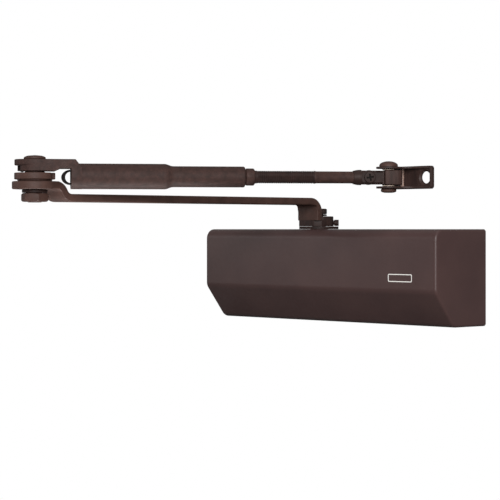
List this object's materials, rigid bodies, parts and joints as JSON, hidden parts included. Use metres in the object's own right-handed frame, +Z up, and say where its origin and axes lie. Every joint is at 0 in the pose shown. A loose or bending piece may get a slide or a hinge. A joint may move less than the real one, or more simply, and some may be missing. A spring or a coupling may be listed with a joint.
{
  "type": "door closer",
  "caption": "Surface-mounted door closer with a boxed body cover, a cranked main arm, a hold-open elbow and an adjustable forearm ending in a frame shoe.",
  "frame": {"origin": "centre of the mounting plate's door-side face", "axes": "+X along the body towards its spring end, +Y into the door, +Z up towards the arms"},
  "size_m": [0.3108, 0.3622, 0.1395],
  "materials": {
    "cover_paint": "dark bronze paint, satin",
    "arm_paint": "dark bronze paint, satin",
    "dark_paint": "darker bronze paint, satin",
    "cast_aluminium": "as cast, shot blasted",
    "zinc_steel": "turned and zinc plated",
    "spring_steel": "oil-tempered wire",
    "brass": "turned brass",
    "seal_rubber": "moulded rubber",
    "washer_nylon": "natural nylon"
  },
  "bodies": {
    "base": {"mounting_plate": "zinc_steel", "closer_body": "cast_aluminium", "body_screw_1": "zinc_steel", "body_screw_2": "zinc_steel", "body_screw_3": "zinc_steel", "body_screw_4": "zinc_steel", "left_end_cap": "zinc_steel", "left_cap_seal": "seal_rubber", "right_end_cap": "zinc_steel", "right_cap_seal": "seal_rubber", "spring_seat": "zinc_steel", "main_spring": "spring_steel", "upper_bearing": "zinc_steel", "lower_bearing": "zinc_steel", "spindle_seal": "seal_rubber", "upper_gland": "brass", "lower_plug": "brass"},
    "cover": {"cover_shell": "cover_paint"},
    "piston": {"rack_piston": "zinc_steel", "check_ball": "zinc_steel"},
    "closing_valve_body": {"closing_valve": "brass"},
    "latching_valve_body": {"latching_valve": "brass"},
    "backcheck_valve_body": {"backcheck_valve": "brass"},
    "spring_adjuster_body": {"spring_adjuster": "zinc_steel"},
    "main_arm_body": {"pinion_spindle": "zinc_steel", "dust_ring": "dark_paint", "main_arm": "arm_paint", "clamp_screw": "dark_paint", "arm_washer": "dark_paint", "arm_screw": "dark_paint", "elbow_bolt": "arm_paint", "elbow_washer": "dark_paint", "elbow_nut": "arm_paint"},
    "hold_open_body": {"hold_open_disc": "arm_paint"},
    "forearm_body": {"forearm_tube": "arm_paint", "detent_ball": "zinc_steel"},
    "collar_body": {"lock_collar": "arm_paint"},
    "rod_body": {"forearm_rod": "dark_paint", "rod_end": "dark_paint", "tilt_screw": "dark_paint"},
    "swivel_body": {"swivel_block": "arm_paint"},
    "shoe_body": {"shoe_bracket": "dark_paint", "shoe_pin": "arm_paint", "upper_shoe_washer": "washer_nylon", "lower_shoe_washer": "washer_nylon"}
  },
  "joints": [
    {"name": "spindle_turn", "type": "hinge", "parent": "base", "child": "main_arm_body", "pos_m": [-0.0243, -0.0325, 0], "axis": [0, 0, 1], "range_deg": [0, 160], "stiffness_Nm_per_rad": 2.9, "springref_deg": -137.51},
    {"name": "piston_slide", "type": "slide", "parent": "base", "child": "piston", "axis": [1, 0, 0], "range_m": [0, 0.031], "deforming": ["main_spring"]},
    {"name": "cover_pull", "type": "slide", "parent": "base", "child": "cover", "axis": [0, -1, 0], "range_m": [0, 0.09]},
    {"name": "closing_valve_turn", "type": "hinge", "parent": "base", "child": "closing_valve_body", "pos_m": [-0.1017, -0.0493, 0.0168], "axis": [1, 0, 0], "range_deg": [-360, 360]},
    {"name": "latching_valve_turn", "type": "hinge", "parent": "base", "child": "latching_valve_body", "pos_m": [-0.1017, -0.0493, -0.0168], "axis": [1, 0, 0], "range_deg": [-360, 360]},
    {"name": "backcheck_valve_turn", "type": "hinge", "parent": "base", "child": "backcheck_valve_body", "pos_m": [-0.1017, -0.0157, 0.0168], "axis": [1, 0, 0], "range_deg": [-360, 360]},
    {"name": "spring_adjuster_turn", "type": "hinge", "parent": "base", "child": "spring_adjuster_body", "pos_m": [0.118, -0.0325, 0], "axis": [1, 0, 0], "range_deg": [-360, 360]},
    {"name": "hold_open_turn", "type": "hinge", "parent": "main_arm_body", "child": "hold_open_body", "pos_m": [-0.0243, -0.3445, 0.082], "axis": [0, 0, 1], "range_deg": [-150, 150]},
    {"name": "elbow_turn", "type": "hinge", "parent": "main_arm_body", "child": "forearm_body", "pos_m": [-0.0243, -0.3445, 0.09], "axis": [0, 0, 1], "range_deg": [-145, 30]},
    {"name": "collar_turn", "type": "hinge", "parent": "forearm_body", "child": "collar_body", "pos_m": [0.07045, -0.20336, 0.0823], "axis": [0.5574, 0.8303, 0], "range_deg": [-180, 180]},
    {"name": "rod_slide", "type": "slide", "parent": "forearm_body", "child": "rod_body", "axis": [0.5574, 0.8303, 0], "range_m": [-0.03, 0.035]},
    {"name": "rod_tilt", "type": "hinge", "parent": "rod_body", "child": "swivel_body", "pos_m": [0.12424, -0.12323, 0.0823], "axis": [-0.8303, 0.5574, 0], "range_deg": [-8, 8]},
    {"name": "shoe_swivel", "type": "hinge", "parent": "swivel_body", "child": "shoe_body", "pos_m": [0.13344, -0.10954, 0.0823], "axis": [0, 0, 1], "range_deg": [-105, 70]}
  ],
  "couplings": [
    {"joint": "piston_slide", "follows": "spindle_turn", "m_per_rad": 0.011}
  ]
}
